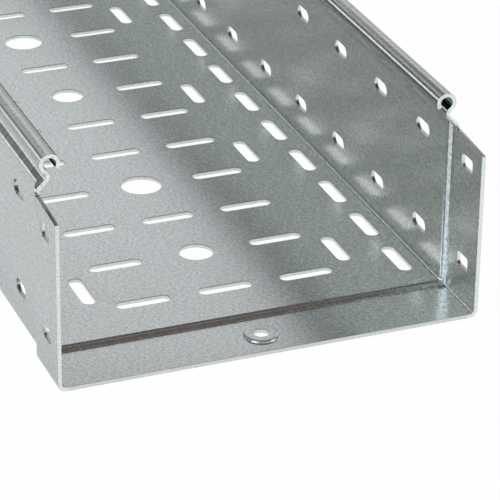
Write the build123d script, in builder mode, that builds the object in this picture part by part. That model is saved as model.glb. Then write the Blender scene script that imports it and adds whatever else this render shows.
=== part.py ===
"""Perforated cable tray: one folded and punched sheet of galvanised steel.

Row frame: X across the tray, Y along it, Z up, in millimetres. The joggled lap end is at
-Y, the plain end at +Y, and the underside of the lap lies on z = 0.
"""

import os
from math import atan2, cos, degrees, radians, sin, tan

from build123d import *

# Sheet and overall sizes
TRAY_LENGTH = 2000.0
INNER_WIDTH = 200.0
SIDE_HEIGHT = 102.3
SHEET = 2.0
BEND_INNER_R = 2.0

# Rolled rim along the top of each wall, radii on the sheet's mid-line
TUBE_MID_R = 4.0
RIM_INSET = 4.2
NECK_OFFSET = 0.95
NECK_MID_R = 3.2
KINK_MID_R = 2.0
KINK_ANGLE = 45.0
CURL_END_ANGLE = 216.0

# Joggled lap that passes under the next tray
LAP_CLEARANCE = 0.1
LAP_STEP = SHEET + LAP_CLEARANCE
LAP_FRONT_TO_ROW = 61.4
LAP_FRONT_HEIGHT = 81.6
LAP_REAR_HEIGHT = 83.8
JOGGLE_TO_ROW = 26.9
JOGGLE_MID_R = 2.0
JOGGLE_ANGLE = 45.0
JOGGLE_SECTIONS = 14
RIM_END_TO_ROW = 32.7
RELIEF_R = 0.9

# Floor hole pattern: rows along the tray, repeating every five rows
ROW_PITCH = 40.0
ROWS_PER_REPEAT = 5
CROSS_X = 41.7
OUTER_X = 89.5
BETWEEN_X = 65.6
BETWEEN_ROWS = (0.5, 3.5)
SMALL_HOLE_ROW = 1
LARGE_HOLE_ROW = 3
FLOOR_SLOT = (27.0, 6.8)
SMALL_HOLE_R = 8.5
LARGE_HOLE_R = 10.5

# Side holes: two rows of short lengthwise slots in each wall
SIDE_SLOT = (15.0, 6.9)
SIDE_PITCH = 50.0
SIDE_FROM_ROW = -1.3
SIDE_HEIGHTS = (20.5, 71.5)
SIDE_END_MARGIN = 35.0

# Holes of the lap and the ones over them in the next tray's plain end
LAP_HOLES_TO_ROW = 46.2
LAP_SLOT = (11.6, 6.9)
LAP_SLOT_CORNER_R = 1.6
PLAIN_END_TO_HOLES = LAP_HOLES_TO_ROW - RIM_END_TO_ROW

# Pressed boss round the lap's bolt hole
BOSS_HOLE_R = 3.6
BOSS_FLAT_R = 7.2
BOSS_RISE = 1.2
BOSS_EDGE_R = 0.9
BOSS_FOOT_R = 0.3
BOSS_ANGLE = 60.0
BOSS_MARGIN = 0.5

# Positions that follow from the sizes above
FRONT_Y = -TRAY_LENGTH / 2
BACK_Y = TRAY_LENGTH / 2
FIRST_ROW_Y = FRONT_Y + LAP_FRONT_TO_ROW
JOGGLE_Y = FIRST_ROW_Y - JOGGLE_TO_ROW
RIM_END_Y = FIRST_ROW_Y - RIM_END_TO_ROW
LAP_HOLES_Y = FIRST_ROW_Y - LAP_HOLES_TO_ROW
END_HOLES_Y = BACK_Y - PLAIN_END_TO_HOLES
ROW_COUNT = int((END_HOLES_Y - FIRST_ROW_Y) / ROW_PITCH) + 1
SIDE_COUNT = int((BACK_Y - SIDE_END_MARGIN - FIRST_ROW_Y - SIDE_FROM_ROW) / SIDE_PITCH) + 1
FLOOR_UNDER_Z = LAP_STEP
FLOOR_TOP_Z = FLOOR_UNDER_Z + SHEET
RIM_TOP_Z = FLOOR_UNDER_Z + SIDE_HEIGHT
WALL_MID_X = INNER_WIDTH / 2 + SHEET / 2
OUTER_HALF_WIDTH = WALL_MID_X + SHEET / 2 + LAP_STEP
BEND_MID_R = BEND_INNER_R + SHEET / 2
TUBE_X = WALL_MID_X - RIM_INSET
TUBE_Z = RIM_TOP_Z - TUBE_MID_R - SHEET / 2


def offset_point(x, z, heading, off):
    """Return the point a distance off to the left of a heading given in degrees."""
    angle = radians(heading)
    return (x - off * sin(angle), z + off * cos(angle))


def draw_skin(start, heading, steps, off):
    """Draw one skin of a sheet whose mid-line follows tangent steps.

    Args:
        start: First point of the mid-line.
        heading: First direction in degrees from the sketch's x direction.
        steps: Pairs of (length, 0) for a straight or (radius, turn) for a bend, the turn
            in degrees and positive to the left.
        off: The skin's distance to the left of the mid-line.

    Returns:
        The skin's two end points.
    """
    x, z = offset_point(*start, heading, off)
    first = (x, z)
    for size, turn in steps:
        if turn == 0:
            end = offset_point(x, z, heading - 90, size)
            Line((x, z), end)
        else:
            side = size - off if turn > 0 else -size - off
            centre = offset_point(x, z, heading, side)
            middle = offset_point(*centre, heading + turn / 2, -side)
            heading += turn
            end = offset_point(*centre, heading, -side)
            ThreePointArc((x, z), middle, end)
        x, z = end
    return first, (x, z)


def section_steps(step):
    """Return the section's mid-line steps with its walls and floor moved outward.

    Args:
        step: How far the walls stand outward and the floor down from the body's place.
            The rim keeps its place: the slope under it grows longer.
    """
    neck_x = TUBE_X + NECK_OFFSET + NECK_MID_R
    rise = ((NECK_MID_R + TUBE_MID_R) ** 2 - (neck_x - TUBE_X) ** 2) ** 0.5
    tangent = degrees(atan2(rise, TUBE_X - neck_x))
    kink = radians(KINK_ANGLE)
    neck_end_x = neck_x - NECK_MID_R * sin(kink)
    neck_end_z = TUBE_Z - rise - NECK_MID_R * cos(kink)
    slope = (WALL_MID_X + step - KINK_MID_R * (1 - cos(kink)) - neck_end_x) / sin(kink)
    wall_top_z = neck_end_z - slope * cos(kink) - KINK_MID_R * sin(kink)
    floor_mid_z = FLOOR_UNDER_Z + SHEET / 2 - step
    half = [
        (BEND_MID_R, 90),
        (wall_top_z - floor_mid_z - BEND_MID_R, 0),
        (KINK_MID_R, KINK_ANGLE),
        (slope, 0),
        (NECK_MID_R, tangent - 180 - KINK_ANGLE),
        (TUBE_MID_R, CURL_END_ANGLE + 180 - tangent),
    ]
    floor = (2 * (WALL_MID_X + step - BEND_MID_R), 0)
    return half[::-1] + [floor] + half


def draw_section(outer_step, inner_step):
    """Draw the tray's section, each skin of the sheet moved outward by its own step."""
    heading = 270 - CURL_END_ANGLE
    start = offset_point(-TUBE_X, TUBE_Z, heading, -TUBE_MID_R)
    outer = draw_skin(start, heading, section_steps(outer_step), -SHEET / 2)
    inner = draw_skin(start, heading, section_steps(inner_step), SHEET / 2)
    for outer_end, inner_end in zip(outer, inner):
        Line(outer_end, inner_end)


def s_bend(rise, first_r, second_r, angle):
    """Return an S-bend's straight length and its run for a rise at an angle."""
    angle = radians(angle)
    straight = (rise - (first_r + second_r) * (1 - cos(angle))) / sin(angle)
    return straight, (first_r + second_r) * sin(angle) + straight * cos(angle)


def joggle_step(run, first_r, second_r):
    """Return how far a skin of the sheet has stepped at a run into the joggle."""
    angle = radians(JOGGLE_ANGLE)
    first_run = first_r * sin(angle)
    if run <= first_run:
        return first_r - (first_r**2 - run**2) ** 0.5
    left = joggle_run - run
    if left <= second_r * sin(angle):
        return LAP_STEP - second_r + (second_r**2 - left**2) ** 0.5
    return first_r * (1 - cos(angle)) + (run - first_run) * tan(angle)


def section_plane(y):
    """Return the plane across the tray at y, facing the lap end, with Z up in it."""
    return Plane(origin=(0, y, 0), x_dir=(1, 0, 0), z_dir=(0, -1, 0))


joggle_run = s_bend(LAP_STEP, JOGGLE_MID_R, JOGGLE_MID_R, JOGGLE_ANGLE)[1]
tight_r = JOGGLE_MID_R - SHEET / 2
wide_r = JOGGLE_MID_R + SHEET / 2

# The boss's upper skin turns down round its edge, the lower one a sheet's thickness inside
boss_straight, boss_run = s_bend(BOSS_RISE, BOSS_EDGE_R, BOSS_FOOT_R, BOSS_ANGLE)
boss_base_r = BOSS_FLAT_R + boss_run + BOSS_MARGIN
boss_inset = SHEET * tan(radians(BOSS_ANGLE / 2))
boss_start = (BOSS_HOLE_R, SHEET + BOSS_RISE)
boss_under = (BOSS_HOLE_R, BOSS_RISE)
boss_upper_steps = [
    (BOSS_FLAT_R - BOSS_HOLE_R, 0),
    (BOSS_EDGE_R, -BOSS_ANGLE),
    (boss_straight, 0),
    (BOSS_FOOT_R, BOSS_ANGLE),
    (BOSS_MARGIN, 0),
]
boss_lower_steps = [
    (BOSS_FLAT_R - BOSS_HOLE_R - boss_inset, 0),
    (BOSS_FOOT_R, -BOSS_ANGLE),
    (boss_straight, 0),
    (BOSS_EDGE_R, BOSS_ANGLE),
    (BOSS_MARGIN + boss_inset, 0),
]

cross_points = []
small_points = []
large_points = []
long_points = []
for row in range(ROW_COUNT):
    row_y = FIRST_ROW_Y + ROW_PITCH * row
    place = row % ROWS_PER_REPEAT
    cross_points += [(-CROSS_X, row_y), (CROSS_X, row_y)]
    long_points += [(-OUTER_X, row_y), (OUTER_X, row_y)]
    if row == ROW_COUNT - 1:
        large_points.append((0, END_HOLES_Y))
    elif place == SMALL_HOLE_ROW:
        small_points.append((0, row_y))
    elif place == LARGE_HOLE_ROW:
        large_points.append((0, row_y))
    else:
        cross_points.append((0, row_y))
    if place in (int(BETWEEN_ROWS[0]), int(BETWEEN_ROWS[1])) and row < ROW_COUNT - 1:
        between_y = row_y + ROW_PITCH / 2
        long_points += [(-BETWEEN_X, between_y), (BETWEEN_X, between_y)]

side_ys = [FIRST_ROW_Y + SIDE_FROM_ROW + SIDE_PITCH * hole for hole in range(SIDE_COUNT)]
side_ys.append(END_HOLES_Y)
side_points = [(y, FLOOR_UNDER_Z + height) for y in side_ys for height in SIDE_HEIGHTS]
lap_points = [(LAP_HOLES_Y, FLOOR_UNDER_Z + height) for height in SIDE_HEIGHTS]
lap_front_z = FLOOR_UNDER_Z + LAP_FRONT_HEIGHT
lap_rear_z = FLOOR_UNDER_Z + LAP_REAR_HEIGHT

with BuildPart() as tray:
    # Body with its rolled rims
    with BuildSketch(section_plane(BACK_Y)):
        with BuildLine():
            draw_section(0, 0)
        make_face()
    extrude(amount=BACK_Y - JOGGLE_Y)
    # Joggle: walls and floor step outward, the rims run straight on
    for number in range(JOGGLE_SECTIONS + 1):
        run = joggle_run * number / JOGGLE_SECTIONS
        with BuildSketch(section_plane(JOGGLE_Y - run)):
            with BuildLine():
                draw_section(joggle_step(run, tight_r, wide_r), joggle_step(run, wide_r, tight_r))
            make_face()
    loft(ruled=True)
    # Lap
    with BuildSketch(section_plane(JOGGLE_Y - joggle_run)):
        with BuildLine():
            draw_section(LAP_STEP, LAP_STEP)
        make_face()
    extrude(amount=JOGGLE_Y - joggle_run - FRONT_Y)
    # Rims cut away over the lap, with a small relief where the cut turns
    with BuildSketch(Plane.YZ):
        with BuildLine():
            Polyline(
                (RIM_END_Y, lap_rear_z),
                (RIM_END_Y, 2 * RIM_TOP_Z),
                (FRONT_Y, 2 * RIM_TOP_Z),
                (FRONT_Y, lap_front_z),
                close=True,
            )
        make_face()
        with Locations((RIM_END_Y - RELIEF_R, lap_rear_z)):
            Circle(RELIEF_R)
    extrude(amount=OUTER_HALF_WIDTH, both=True, mode=Mode.SUBTRACT)
    # Boss pressed up out of the lap's floor
    with BuildSketch(Plane.XY):
        with Locations((0, LAP_HOLES_Y)):
            Circle(boss_base_r)
    extrude(amount=SHEET, mode=Mode.SUBTRACT)
    with BuildSketch(section_plane(LAP_HOLES_Y)):
        with BuildLine():
            upper = draw_skin(boss_start, 0, boss_upper_steps, 0)
            lower = draw_skin(boss_under, 0, boss_lower_steps, 0)
            Line(upper[0], lower[0])
            Line(upper[1], lower[1])
        make_face()
    revolve(axis=Axis((0, LAP_HOLES_Y, 0), (0, 0, 1)))
    # Floor holes
    with BuildSketch(Plane.XY.offset(FLOOR_TOP_Z)):
        with Locations(*cross_points):
            SlotOverall(*FLOOR_SLOT)
        with Locations(*long_points):
            SlotOverall(*FLOOR_SLOT, rotation=90)
        with Locations(*small_points):
            Circle(SMALL_HOLE_R)
        with Locations(*large_points):
            Circle(LARGE_HOLE_R)
    extrude(amount=-SHEET, mode=Mode.SUBTRACT)
    # Side holes, through both walls
    with BuildSketch(Plane.YZ):
        with Locations(*side_points):
            SlotOverall(*SIDE_SLOT)
        with Locations(*lap_points):
            RectangleRounded(*LAP_SLOT, LAP_SLOT_CORNER_R)
    extrude(amount=OUTER_HALF_WIDTH, both=True, mode=Mode.SUBTRACT)

tray.part.label = "tray"

os.makedirs("parts", exist_ok=True)
export_step(tray.part, "parts/tray.step")
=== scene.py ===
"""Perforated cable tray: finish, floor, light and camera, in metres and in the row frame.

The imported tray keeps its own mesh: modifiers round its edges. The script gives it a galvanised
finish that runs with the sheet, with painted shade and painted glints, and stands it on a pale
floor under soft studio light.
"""

from __future__ import annotations

import logging
import math
from collections.abc import Iterable
from dataclasses import dataclass

import bpy
from mathutils import Matrix, Vector


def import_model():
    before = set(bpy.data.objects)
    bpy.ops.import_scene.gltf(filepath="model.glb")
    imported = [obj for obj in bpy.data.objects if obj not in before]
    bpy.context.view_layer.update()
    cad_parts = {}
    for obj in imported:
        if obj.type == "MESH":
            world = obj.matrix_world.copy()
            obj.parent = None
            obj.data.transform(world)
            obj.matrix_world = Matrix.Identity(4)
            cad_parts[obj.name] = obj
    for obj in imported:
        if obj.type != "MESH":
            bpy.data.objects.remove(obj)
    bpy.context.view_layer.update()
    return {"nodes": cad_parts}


LOG = logging.getLogger("scene")
WHITE = (1.0, 1.0, 1.0)

Colour = tuple[float, float, float]
Point = tuple[float, float, float]
Fade = tuple[float, float]
Socket = bpy.types.NodeSocket


@dataclass(frozen=True)
class Noise:
    """A noise: its cells in one metre, its number of finer layers and how strong they are."""

    scale: float
    layers: float = 3.0
    strength: float = 0.6


class Nodes:
    """The nodes of a material or world, with short calls that add and join them."""

    def __init__(self, tree: bpy.types.NodeTree) -> None:
        """Keep the tree."""
        self.tree = tree

    def add(self, kind: str, **settings: object) -> bpy.types.Node:
        """Add a node.

        Args:
            kind: The node's type name without its "ShaderNode" start.
            settings: The node's own properties.

        Returns:
            The new node.
        """
        node = self.tree.nodes.new("ShaderNode" + kind)
        for name, value in settings.items():
            setattr(node, name, value)
        return node

    def feed(self, socket: Socket, value: object) -> None:
        """Set a socket to a value, or join it to another node's output.

        Args:
            socket: The input to set.
            value: A number, a vector, a colour or another node's output.
        """
        if isinstance(value, bpy.types.NodeSocket):
            self.tree.links.new(value, socket)
        elif isinstance(value, tuple) and socket.type == "RGBA":
            socket.default_value = (*value, 1.0)
        else:
            socket.default_value = value

    def feed_all(self, sockets: Iterable[Socket], values: tuple[object, ...]) -> None:
        """Feed a node's first inputs in order."""
        for socket, value in zip(sockets, values):
            self.feed(socket, value)

    def math(self, operation: str, *values: object) -> Socket:
        """Add a math node.

        Args:
            operation: The node's operation.
            values: Its inputs in order.

        Returns:
            Its result.
        """
        node = self.add("Math", operation=operation)
        self.feed_all(node.inputs, values)
        return node.outputs[0]

    def product(self, first: Socket, *others: object) -> Socket:
        """Multiply numbers.

        Args:
            first: The first factor.
            others: The other factors.

        Returns:
            The product.
        """
        for other in others:
            first = self.math("MULTIPLY", first, other)
        return first

    def vary(self, noise: Socket, contrast: float) -> Socket:
        """Turn a noise that keeps near one half into a factor that keeps near one."""
        return self.math("MULTIPLY_ADD", noise, contrast, 1.0 - contrast / 2)

    def scaled(self, colour: Colour, factor: Socket) -> Socket:
        """Multiply a colour by a factor.

        Args:
            colour: The colour.
            factor: The factor.

        Returns:
            The scaled colour.
        """
        node = self.add("VectorMath", operation="SCALE")
        self.feed(node.inputs[0], colour)
        self.feed(node.inputs["Scale"], factor)
        return node.outputs["Vector"]

    def parts(self, vector: Socket) -> tuple[Socket, Socket, Socket]:
        """Split a vector.

        Args:
            vector: The vector.

        Returns:
            Its three numbers.
        """
        node = self.add("SeparateXYZ")
        self.feed(node.inputs[0], vector)
        return node.outputs[0], node.outputs[1], node.outputs[2]

    def join(self, *values: object) -> Socket:
        """Join three numbers into a vector.

        Args:
            values: The numbers.

        Returns:
            The vector.
        """
        node = self.add("CombineXYZ")
        self.feed_all(node.inputs, values)
        return node.outputs[0]

    def noise(self, place: Socket, noise: Noise) -> Socket:
        """Add a noise texture.

        Args:
            place: Where the noise is read.
            noise: What it is like.

        Returns:
            Its value, which keeps near one half.
        """
        node = self.add("TexNoise")
        self.feed(node.inputs["Vector"], place)
        self.feed(node.inputs["Scale"], noise.scale)
        self.feed(node.inputs["Detail"], noise.layers)
        self.feed(node.inputs["Roughness"], noise.strength)
        return node.outputs["Fac"]

    def ramp(self, value: Socket, fade: Fade, start: float = 0.0, end: float = 1.0) -> Socket:
        """Map a value smoothly from one range to another.

        Args:
            value: The number to map.
            fade: Where the result leaves its start and where it reaches its end.
            start: The result before the fade.
            end: The result after the fade.

        Returns:
            The mapped number.
        """
        node = self.add("MapRange", interpolation_type="SMOOTHSTEP")
        self.feed_all(node.inputs, (value, *fade, start, end))
        return node.outputs["Result"]

    def mix(self, factor: Socket, first: object, second: object) -> Socket:
        """Mix two colours.

        Args:
            factor: How much of the second colour shows.
            first: The first colour.
            second: The second colour.

        Returns:
            The mixed colour.
        """
        node = self.add("Mix", data_type="RGBA")
        self.feed(node.inputs["Factor"], factor)
        first_colour, second_colour = (socket for socket in node.inputs if socket.type == "RGBA")
        self.feed(first_colour, first)
        self.feed(second_colour, second)
        return next(socket for socket in node.outputs if socket.type == "RGBA")


@dataclass(frozen=True)
class Camera:
    """Camera of the main view: where it stands, and the directions of its right and its view."""

    place: Point = (-0.439275, -2.062415, 0.640336)
    right: Point = (0.930118, -0.367054, 0.012311)
    forward: Point = (0.332151, 0.826427, -0.454637)
    lens_mm: float = 205.427
    sensor_mm: float = 36.0
    reach: float = 50.0

    def build(self) -> bpy.types.Object:
        """Make the camera and set it as the scene's own.

        Returns:
            The camera object.
        """
        data = bpy.data.cameras.new("main_camera")
        data.lens = self.lens_mm
        data.sensor_width = self.sensor_mm
        data.clip_end = self.reach
        camera = bpy.data.objects.new("main_camera", data)
        back = -Vector(self.forward).normalized()
        right = Vector(self.right).normalized()
        turn = Matrix((right, back.cross(right), back)).transposed()
        camera.matrix_world = Matrix.Translation(self.place) @ turn.to_4x4()
        bpy.context.scene.collection.objects.link(camera)
        bpy.context.scene.camera = camera
        return camera


@dataclass(frozen=True)
class TrayPlaces:
    """Sizes of the tray in metres, and the places that tell its faces apart.

    Each place is a pair: where a mask starts and where it is full. Side places are measured
    from the tray's middle plane, the lap's front along the tray, and the others up from the
    ground.
    """

    inner_half: float = 0.100
    sheet: float = 0.002
    lap_step: float = 0.0021
    lap_end: float = -1.0
    lap_wall_top: float = 0.0816
    rim_foot: float = 0.084
    tube_foot: float = 0.092
    floor_face: float = lap_step + sheet
    lap_inner_half: float = inner_half + lap_step

    floor_side: Fade = (inner_half - 0.0010, inner_half - 0.0012)
    floor_top: Fade = (floor_face + 0.0019, floor_face + 0.0014)
    wall_side: Fade = (inner_half - 0.0005, inner_half - 0.0002)
    wall_foot: Fade = (floor_face + 0.0039, floor_face + 0.0044)
    lap_side: Fade = (lap_inner_half - 0.0006, lap_inner_half - 0.0003)
    lap_top: Fade = (lap_wall_top - 0.0021, lap_wall_top - 0.0016)
    lap_front: Fade = (lap_end + 0.020, lap_end + 0.018)
    lip_side: Fade = (inner_half - 0.0025, inner_half - 0.0030)
    lip_foot: Fade = (floor_face - 0.0005, floor_face - 0.0003)
    lip_top: Fade = (floor_face + 0.0019, floor_face + 0.0005)
    bend_side: Fade = (inner_half - 0.0025, inner_half - 0.0020)
    bend_top: Fade = (floor_face + 0.0034, floor_face + 0.0029)
    rim_tone: Fade = (rim_foot, rim_foot + 0.002)
    rim_gloss: Fade = (rim_foot, rim_foot + 0.004)
    tube: Fade = (tube_foot, tube_foot + 0.005)


@dataclass(frozen=True)
class FacePoint:
    """Where a point of the sheet lies and which way it faces, as node outputs."""

    x: Socket
    along: Socket
    height: Socket
    across: Socket
    turn: tuple[Socket, Socket, Socket]
    upward: Socket

    @classmethod
    def read(cls, nodes: Nodes, place: bpy.types.NodeOutputs) -> FacePoint:
        """Read the point from the texture coordinates.

        Args:
            nodes: The material's nodes.
            place: The texture coordinate node's outputs.

        Returns:
            The point.
        """
        x, y, z = nodes.parts(place["Object"])
        facing = nodes.parts(place["Normal"])
        turn_x, turn_y, turn_z = (nodes.math("ABSOLUTE", part) for part in facing)
        return cls(x, y, z, nodes.math("ABSOLUTE", x), (turn_x, turn_y, turn_z), facing[2])


@dataclass(frozen=True)
class GalvanisedFinish:
    """Bright zinc coating on rolled sheet, paler where cut or punched, with painted shade and
    glints.

    Fields that end in "turn" or "rise" are fades over one number of the face's direction.
    """

    places: TrayPlaces = TrayPlaces()

    # Tones of the zinc and of cut faces, and of the painted shade on faces in and beside the holes
    # and on the lap's upper edges
    sheet_tone: Colour = (0.58, 0.615, 0.62)
    cut_tone: Colour = (0.72, 0.77, 0.755)
    painted_lap_edge_shade_tone: Colour = (0.21, 0.22, 0.22)
    painted_corner_shade_tone: Colour = (0.22, 0.21, 0.19)
    painted_ledge_shade_tone: Colour = (0.50, 0.51, 0.51)
    painted_lip_shade_tone: Colour = (0.31, 0.315, 0.315)
    floor_hole_shade: float = 0.26

    # Which way the cut faces and the faces with painted shade turn
    end_turn: Fade = (0.90, 0.95)
    hole_turn: Fade = (0.45, 0.35)
    lap_edge_turn: Fade = (0.80, 0.90)
    lip_turn: Fade = (0.97, 0.90)
    corner_rise: Fade = (0.25, 0.45)
    corner_end_rise: Fade = (0.97, 0.85)
    ledge_rise: Fade = (0.85, 0.97)

    # Painted shade on bends and rims
    bend_turn: Fade = (0.10, 0.40)
    bend_middle: float = 0.62
    bend_line: Fade = (0.06, 0.14)
    bend_painted_shade: float = 0.16
    rim_painted_shade: float = 0.93
    tube_painted_shade: float = 0.78

    # Grain and painted glints, from their layout on the flat sheet to how strongly they show
    side_shift: float = 0.7
    grain_squeeze: float = 1.5
    grain: Noise = Noise(640.0)
    mottle: Noise = Noise(260.0)
    cloud: Noise = Noise(45.0)
    glint: Noise = Noise(1100.0, 1.0, 0.5)
    speckle: Noise = Noise(1100.0, 2.0)
    grain_contrast: float = 1.40
    mottle_contrast: float = 0.45
    cloud_contrast: float = 0.10
    speckle_contrast: float = 1.00
    glint_fade: Fade = (0.75, 0.83)
    painted_glint_gain: float = 0.14

    # Gloss and relief
    base_roughness: float = 0.195
    cloud_roughness: float = 0.05
    mottle_roughness: float = 0.06
    cut_roughness: float = 0.05
    rim_gloss_level: float = 0.6
    grain_depth: float = 0.0000035
    mottle_depth_share: float = 0.4

    def build(self) -> bpy.types.Material:
        """Make the material.

        Returns:
            The material.
        """
        material = bpy.data.materials.new("galvanised_steel")
        material.use_nodes = True
        nodes = Nodes(material.node_tree)
        shader = material.node_tree.nodes["Principled BSDF"]
        place = nodes.add("TexCoord").outputs
        point = FacePoint.read(nodes, place)
        rolled = self.rolled_place(nodes, point)
        grain = nodes.noise(rolled, self.grain)
        mottle = nodes.noise(rolled, self.mottle)
        cloud = nodes.noise(rolled, self.cloud)
        glint = nodes.noise(rolled, self.glint)
        speckle = nodes.noise(place["Object"], self.speckle)

        # The zinc's random grain, times the painted shade on the rims and bends.
        shade = nodes.product(
            nodes.vary(grain, self.grain_contrast), nodes.vary(mottle, self.mottle_contrast),
            nodes.vary(cloud, self.cloud_contrast), self.painted_shade_level(nodes, point),
        )
        # Painted glints: sparse bright specks added to the tone.
        shade = nodes.math("ADD", shade, nodes.ramp(glint, self.glint_fade, 0.0, self.painted_glint_gain))
        cut, painted_shades = self.cut_masks(nodes, point)
        edge = nodes.scaled(self.cut_tone, nodes.vary(speckle, self.speckle_contrast))
        tone = nodes.mix(cut, nodes.scaled(self.sheet_tone, shade), edge)
        # Lay the painted shade in and beside the holes and on the lap's upper edges over the tone.
        for mask, painted_shade in painted_shades:
            tone = nodes.mix(mask, tone, painted_shade)

        nodes.feed(shader.inputs["Base Color"], tone)
        nodes.feed(shader.inputs["Roughness"], self.roughness(nodes, point, cloud, mottle, cut))
        nodes.feed(shader.inputs["Metallic"], 1.0)
        nodes.feed(shader.inputs["Normal"], self.grain_relief(nodes, grain, mottle))
        return material

    def rolled_place(self, nodes: Nodes, point: FacePoint) -> Socket:
        """Lay the folded sheet out flat, so that the grain runs round its bends.

        Args:
            nodes: The material's nodes.
            point: The point of the sheet.

        Returns:
            The point's place on the flat sheet, apart for the left and right half.
        """
        along = nodes.product(point.along, self.grain_squeeze)
        across = nodes.math("ADD", point.across, point.height)
        side = nodes.product(nodes.math("SIGN", point.x), self.side_shift)
        return nodes.join(along, across, side)

    def roughness(
        self, nodes: Nodes, point: FacePoint, cloud: Socket, mottle: Socket, cut: Socket
    ) -> Socket:
        """Work out the zinc's roughness: less on the rims, more on cut faces.

        Args:
            nodes: The material's nodes.
            point: The point of the sheet.
            cloud: The widest noise.
            mottle: The middle noise.
            cut: How much the point is on a cut face.

        Returns:
            The roughness.
        """
        rough = nodes.math("MULTIPLY_ADD", cloud, self.cloud_roughness, self.base_roughness)
        rough = nodes.math("MULTIPLY_ADD", mottle, self.mottle_roughness, rough)
        gloss = nodes.ramp(point.height, self.places.rim_gloss, 1.0, self.rim_gloss_level)
        return nodes.math("MULTIPLY_ADD", cut, self.cut_roughness, nodes.product(rough, gloss))

    def grain_relief(self, nodes: Nodes, grain: Socket, mottle: Socket) -> Socket:
        """Make the zinc's fine relief.

        Args:
            nodes: The material's nodes.
            grain: The finest noise.
            mottle: The middle noise.

        Returns:
            The face's direction with the relief.
        """
        bump = nodes.add("Bump")
        nodes.feed(bump.inputs["Strength"], 1.0)
        nodes.feed(bump.inputs["Distance"], self.grain_depth)
        height = nodes.math("MULTIPLY_ADD", mottle, self.mottle_depth_share, grain)
        nodes.feed(bump.inputs["Height"], height)
        return bump.outputs["Normal"]

    def painted_shade_level(self, nodes: Nodes, point: FacePoint) -> Socket:
        """Paint shade on the rims and on both sides of each bend's middle line.

        Args:
            nodes: The material's nodes.
            point: The point of the sheet.

        Returns:
            How much of the zinc's tone the painted shade leaves.
        """
        turn_x, _, turn_z = point.turn
        off_middle = nodes.math("ABSOLUTE", nodes.math("SUBTRACT", turn_x, self.bend_middle))
        bend = nodes.product(
            nodes.ramp(point.across, self.places.bend_side),
            nodes.ramp(point.height, self.places.bend_top),
            nodes.ramp(turn_x, self.bend_turn), nodes.ramp(turn_z, self.bend_turn),
            nodes.ramp(off_middle, self.bend_line),
        )
        return nodes.product(
            nodes.ramp(point.height, self.places.tube, 1.0, self.tube_painted_shade),
            nodes.ramp(point.height, self.places.rim_tone, 1.0, self.rim_painted_shade),
            nodes.math("MULTIPLY_ADD", bend, -self.bend_painted_shade, 1.0),
        )

    def cut_masks(
        self, nodes: Nodes, point: FacePoint
    ) -> tuple[Socket, list[tuple[Socket, Colour]]]:
        """Find the cut faces, and the faces with painted shade, from where they are and which way
        they face.

        Args:
            nodes: The material's nodes.
            point: The point of the sheet.

        Returns:
            How much a point is a cut or punched face, and masks with the painted shade tones they
            bring.
        """
        places = self.places
        turn_x, turn_y, turn_z = point.turn
        ends = nodes.ramp(turn_y, self.end_turn)
        in_floor = nodes.product(
            nodes.ramp(point.across, places.floor_side),
            nodes.ramp(point.height, places.floor_top), nodes.ramp(turn_z, self.hole_turn),
        )
        in_wall = nodes.product(
            nodes.ramp(point.across, places.wall_side),
            nodes.ramp(point.height, places.wall_foot), nodes.ramp(turn_x, self.hole_turn),
        )
        # Painted shade: the lap's upper edges near its front are darkened.
        painted_lap_edge_shade = nodes.product(
            nodes.ramp(point.across, places.lap_side), nodes.ramp(point.height, places.lap_top),
            nodes.ramp(turn_z, self.lap_edge_turn), nodes.ramp(point.along, places.lap_front),
        )
        # Painted shade on the wall holes' faces that lean partly upward.
        painted_corner_shade = nodes.product(
            in_wall, nodes.ramp(point.upward, self.corner_rise),
            nodes.ramp(point.upward, self.corner_end_rise),
        )
        # Painted shade on the wall holes' upward faces.
        painted_ledge_shade = nodes.product(in_wall, nodes.ramp(point.upward, self.ledge_rise))
        # Painted shade on the rounded top edges of the floor holes.
        painted_lip_shade = nodes.product(
            nodes.ramp(point.across, places.lip_side), nodes.ramp(turn_z, self.lip_turn),
            nodes.ramp(point.height, places.lip_foot), nodes.ramp(point.height, places.lip_top),
        )
        cut = nodes.math("MAXIMUM", ends, nodes.math("MAXIMUM", in_floor, in_wall))
        # Painted shade, laid over the tone in this order; the floor holes' walls get a little of
        # the lips' tone.
        painted_shades = [
            (painted_lap_edge_shade, self.painted_lap_edge_shade_tone),
            (painted_corner_shade, self.painted_corner_shade_tone),
            (painted_ledge_shade, self.painted_ledge_shade_tone),
            (nodes.product(in_floor, self.floor_hole_shade), self.painted_lip_shade_tone),
            (painted_lip_shade, self.painted_lip_shade_tone),
        ]
        return cut, painted_shades


@dataclass(frozen=True)
class CableTray:
    """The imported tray: the edges that the press and the shears leave a little round."""

    weld_reach: float = 0.000002
    edge_width: float = 0.00013
    edge_angle: float = 50.0
    face_weight: int = 100

    def dress(self, tray: bpy.types.Object, finish: bpy.types.Material) -> None:
        """Give the tray its finish and its rounded edges.

        Args:
            tray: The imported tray.
            finish: The tray's material.
        """
        for slot in tray.material_slots:
            slot.material = finish
        self.round_edges(tray)
        LOG.info("tray: %d faces", len(tray.data.polygons))

    def round_edges(self, tray: bpy.types.Object) -> None:
        """Round the cut edges and keep the shading even.

        Args:
            tray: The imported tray.
        """
        weld = tray.modifiers.new("weld", "WELD")
        weld.merge_threshold = self.weld_reach
        bevel = tray.modifiers.new("edge rounding", "BEVEL")
        bevel.width = self.edge_width
        bevel.segments = 1
        bevel.limit_method = "ANGLE"
        bevel.angle_limit = math.radians(self.edge_angle)
        bevel.harden_normals = True
        shading = tray.modifiers.new("even shading", "WEIGHTED_NORMAL")
        shading.weight = self.face_weight
        shading.keep_sharp = False


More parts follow.
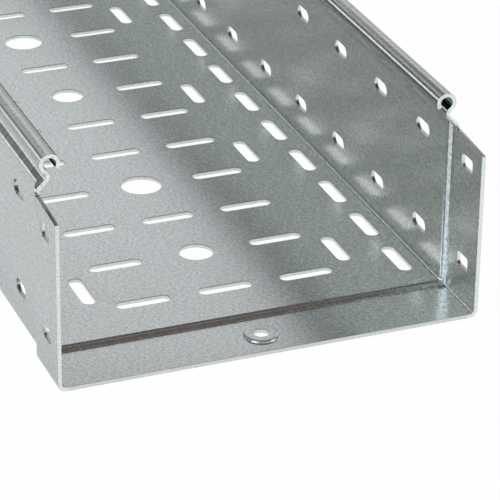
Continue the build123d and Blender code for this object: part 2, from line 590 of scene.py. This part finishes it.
@dataclass(frozen=True)
class FloorFinish:
    """Matt floor, white to the eye and pale in reflections, which keeps a shadow.

    In reflections it is brightest under the tray and to its right, dimmer to the tray's
    left, and dimmest close beside it there, where a painted shadow of the tray shows in reflections
    only.
    """

    tone: Colour = (0.85, 0.85, 0.85)
    roughness: float = 0.9
    white: float = 0.985
    pale: float = 0.95
    pale_left: float = 0.57
    painted_shadow_beside: float = 0.43
    shine: float = 1.05
    tray_side: float = -0.103
    left_fade: Fade = (tray_side - 0.022, tray_side - 0.005)
    under_fade: Fade = (tray_side - 0.001, tray_side)

    def build(self) -> bpy.types.Material:
        """Make the material.

        Returns:
            The material.
        """
        material = bpy.data.materials.new("floor")
        material.use_nodes = True
        nodes = Nodes(material.node_tree)
        shader = material.node_tree.nodes["Principled BSDF"]
        nodes.feed(shader.inputs["Base Color"], self.tone)
        nodes.feed(shader.inputs["Roughness"], self.roughness)
        nodes.feed(shader.inputs["Specular IOR Level"], 0.0)

        rays = nodes.add("LightPath").outputs
        camera = rays["Is Camera Ray"]
        mirrored = nodes.add("Math", operation="ADD", use_clamp=True)
        nodes.feed_all(mirrored.inputs, (rays["Is Glossy Ray"], rays["Is Transmission Ray"]))
        x, _, _ = nodes.parts(nodes.add("TexCoord").outputs["Object"])
        # Painted shadow: in reflections the strip close beside the tray is dimmest.
        left = nodes.ramp(x, self.left_fade, self.pale_left, self.painted_shadow_beside)
        pale = nodes.math("MAXIMUM", left, nodes.ramp(x, self.under_fade, 0.0, self.pale))
        seen = nodes.product(camera, self.white)
        seen = nodes.math("MULTIPLY_ADD", mirrored.outputs[0], pale, seen)
        glow = nodes.add("Emission")
        nodes.feed(glow.inputs["Color"], WHITE)
        strength = nodes.math("MULTIPLY_ADD", camera, 1.0 - self.shine, self.shine)
        nodes.feed(glow.inputs["Strength"], strength)
        mix = nodes.add("MixShader")
        nodes.feed_all(mix.inputs, (seen, shader.outputs[0], glow.outputs[0]))
        surface = material.node_tree.nodes["Material Output"].inputs["Surface"]
        nodes.feed(surface, mix.outputs[0])
        return material


@dataclass(frozen=True)
class StudioFloor:
    """Level square floor under the tray."""

    size: float = 40.0

    def build(self, finish: bpy.types.Material) -> bpy.types.Object:
        """Make the floor.

        Args:
            finish: The floor's material.

        Returns:
            The floor.
        """
        half = self.size / 2
        corners = [(-half, -half, 0), (half, -half, 0), (half, half, 0), (-half, half, 0)]
        mesh = bpy.data.meshes.new("floor")
        mesh.from_pydata(corners, [], [(0, 1, 2, 3)])
        mesh.materials.append(finish)
        floor = bpy.data.objects.new("floor", mesh)
        bpy.context.scene.collection.objects.link(floor)
        LOG.info("floor: %.0f m", self.size)
        return floor


@dataclass(frozen=True)
class SoftPanel:
    """A soft-edged panel of light or shade round the studio, in degrees.

    The bearing runs clockwise from straight behind the tray, the height up from level.
    """

    name: str
    bearing: float
    height: float
    half_width: float
    half_height: float
    softness: float
    colour: Colour

    def inside(self, nodes: Nodes, bearing: Socket, height: Socket) -> Socket:
        """Find how much a direction lies in the panel.

        Args:
            nodes: The world's nodes.
            bearing: The direction's bearing, in radians.
            height: The direction's height, in radians.

        Returns:
            One inside the panel, fading softly to none.
        """
        off = nodes.math("SUBTRACT", bearing, math.radians(self.bearing))
        off = nodes.math("ABSOLUTE", nodes.math("WRAP", off, math.pi, -math.pi))
        up = nodes.math("ABSOLUTE", nodes.math("SUBTRACT", height, math.radians(self.height)))
        return nodes.product(
            nodes.ramp(off, self.fade(self.half_width)), nodes.ramp(up, self.fade(self.half_height))
        )

    def fade(self, half: float) -> Fade:
        """Return the soft edge of a half size, in radians, from outside to inside."""
        return math.radians(half + self.softness / 2), math.radians(half - self.softness / 2)


@dataclass(frozen=True)
class StudioSurround:
    """The studio round the tray: a base tone with soft panels, later ones over earlier ones."""

    base: Colour = (0.62, 0.62, 0.61)
    panels: tuple[SoftPanel, ...] = (
        SoftPanel("back wall, left", -12.0, 12.0, 28.0, 20.0, 5.0, (0.755, 0.77, 0.655)),
        SoftPanel("back wall, right", 30.0, 12.0, 30.0, 20.0, 5.0, (1.13, 1.13, 1.15)),
        SoftPanel("back wall's foot", 12.0, 7.0, 48.0, 15.0, 10.0, (0.70, 0.71, 0.70)),
        SoftPanel("sky", 0.0, 90.0, 180.0, 57.0, 6.0, (0.38, 0.38, 0.37)),
        SoftPanel("high shade behind", 0.0, 55.0, 70.0, 21.0, 8.0, (0.14, 0.125, 0.11)),
        SoftPanel("post, back left", -32.0, 17.0, 8.0, 7.5, 3.0, (0.19, 0.185, 0.155)),
        SoftPanel("strip light, back left", -36.0, 4.0, 8.0, 7.0, 3.0, (1.65, 1.70, 1.80)),
        SoftPanel("softbox, left", -55.0, 27.0, 14.0, 14.0, 4.0, (4.2, 4.4, 4.6)),
        SoftPanel("gap between the softboxes", -84.0, 27.0, 13.0, 14.0, 5.0, (0.14, 0.15, 0.18)),
        SoftPanel("softbox, front left", -114.0, 27.0, 18.0, 14.0, 8.0, (1.95, 2.10, 2.20)),
        SoftPanel("softbox, front right", 122.0, 20.0, 10.0, 10.0, 6.0, (1.6, 1.6, 1.6)),
        SoftPanel("high shade in front", 145.0, 56.0, 40.0, 16.0, 8.0, (0.15, 0.125, 0.105)),
    )

    def build(self) -> bpy.types.World:
        """Make the surround, white to the camera.

        Returns:
            The world.
        """
        world = bpy.data.worlds.new("studio")
        world.use_nodes = True
        nodes = Nodes(world.node_tree)
        direction = nodes.add("VectorMath", operation="NORMALIZE")
        nodes.feed(direction.inputs[0], nodes.add("TexCoord").outputs["Generated"])
        x, y, z = nodes.parts(direction.outputs["Vector"])
        bearing = nodes.math("ARCTAN2", x, y)
        height = nodes.math("ARCSINE", z)
        tone: object = self.base
        for panel in self.panels:
            tone = nodes.mix(panel.inside(nodes, bearing, height), tone, panel.colour)
            LOG.info("surround: %s", panel.name)
        tone = nodes.mix(nodes.add("LightPath").outputs["Is Camera Ray"], tone, WHITE)
        nodes.feed(world.node_tree.nodes["Background"].inputs["Color"], tone)
        bpy.context.scene.world = world
        return world


def main() -> None:
    """Build the scene in order and report each piece."""
    logging.basicConfig(level=logging.INFO, format="%(message)s")
    Camera().build()
    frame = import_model()
    CableTray().dress(frame["nodes"]["tray"], GalvanisedFinish().build())
    StudioFloor().build(FloorFinish().build())
    StudioSurround().build()
    bpy.context.scene.view_settings.view_transform = "Standard"


if __name__ == "__main__":
    main()
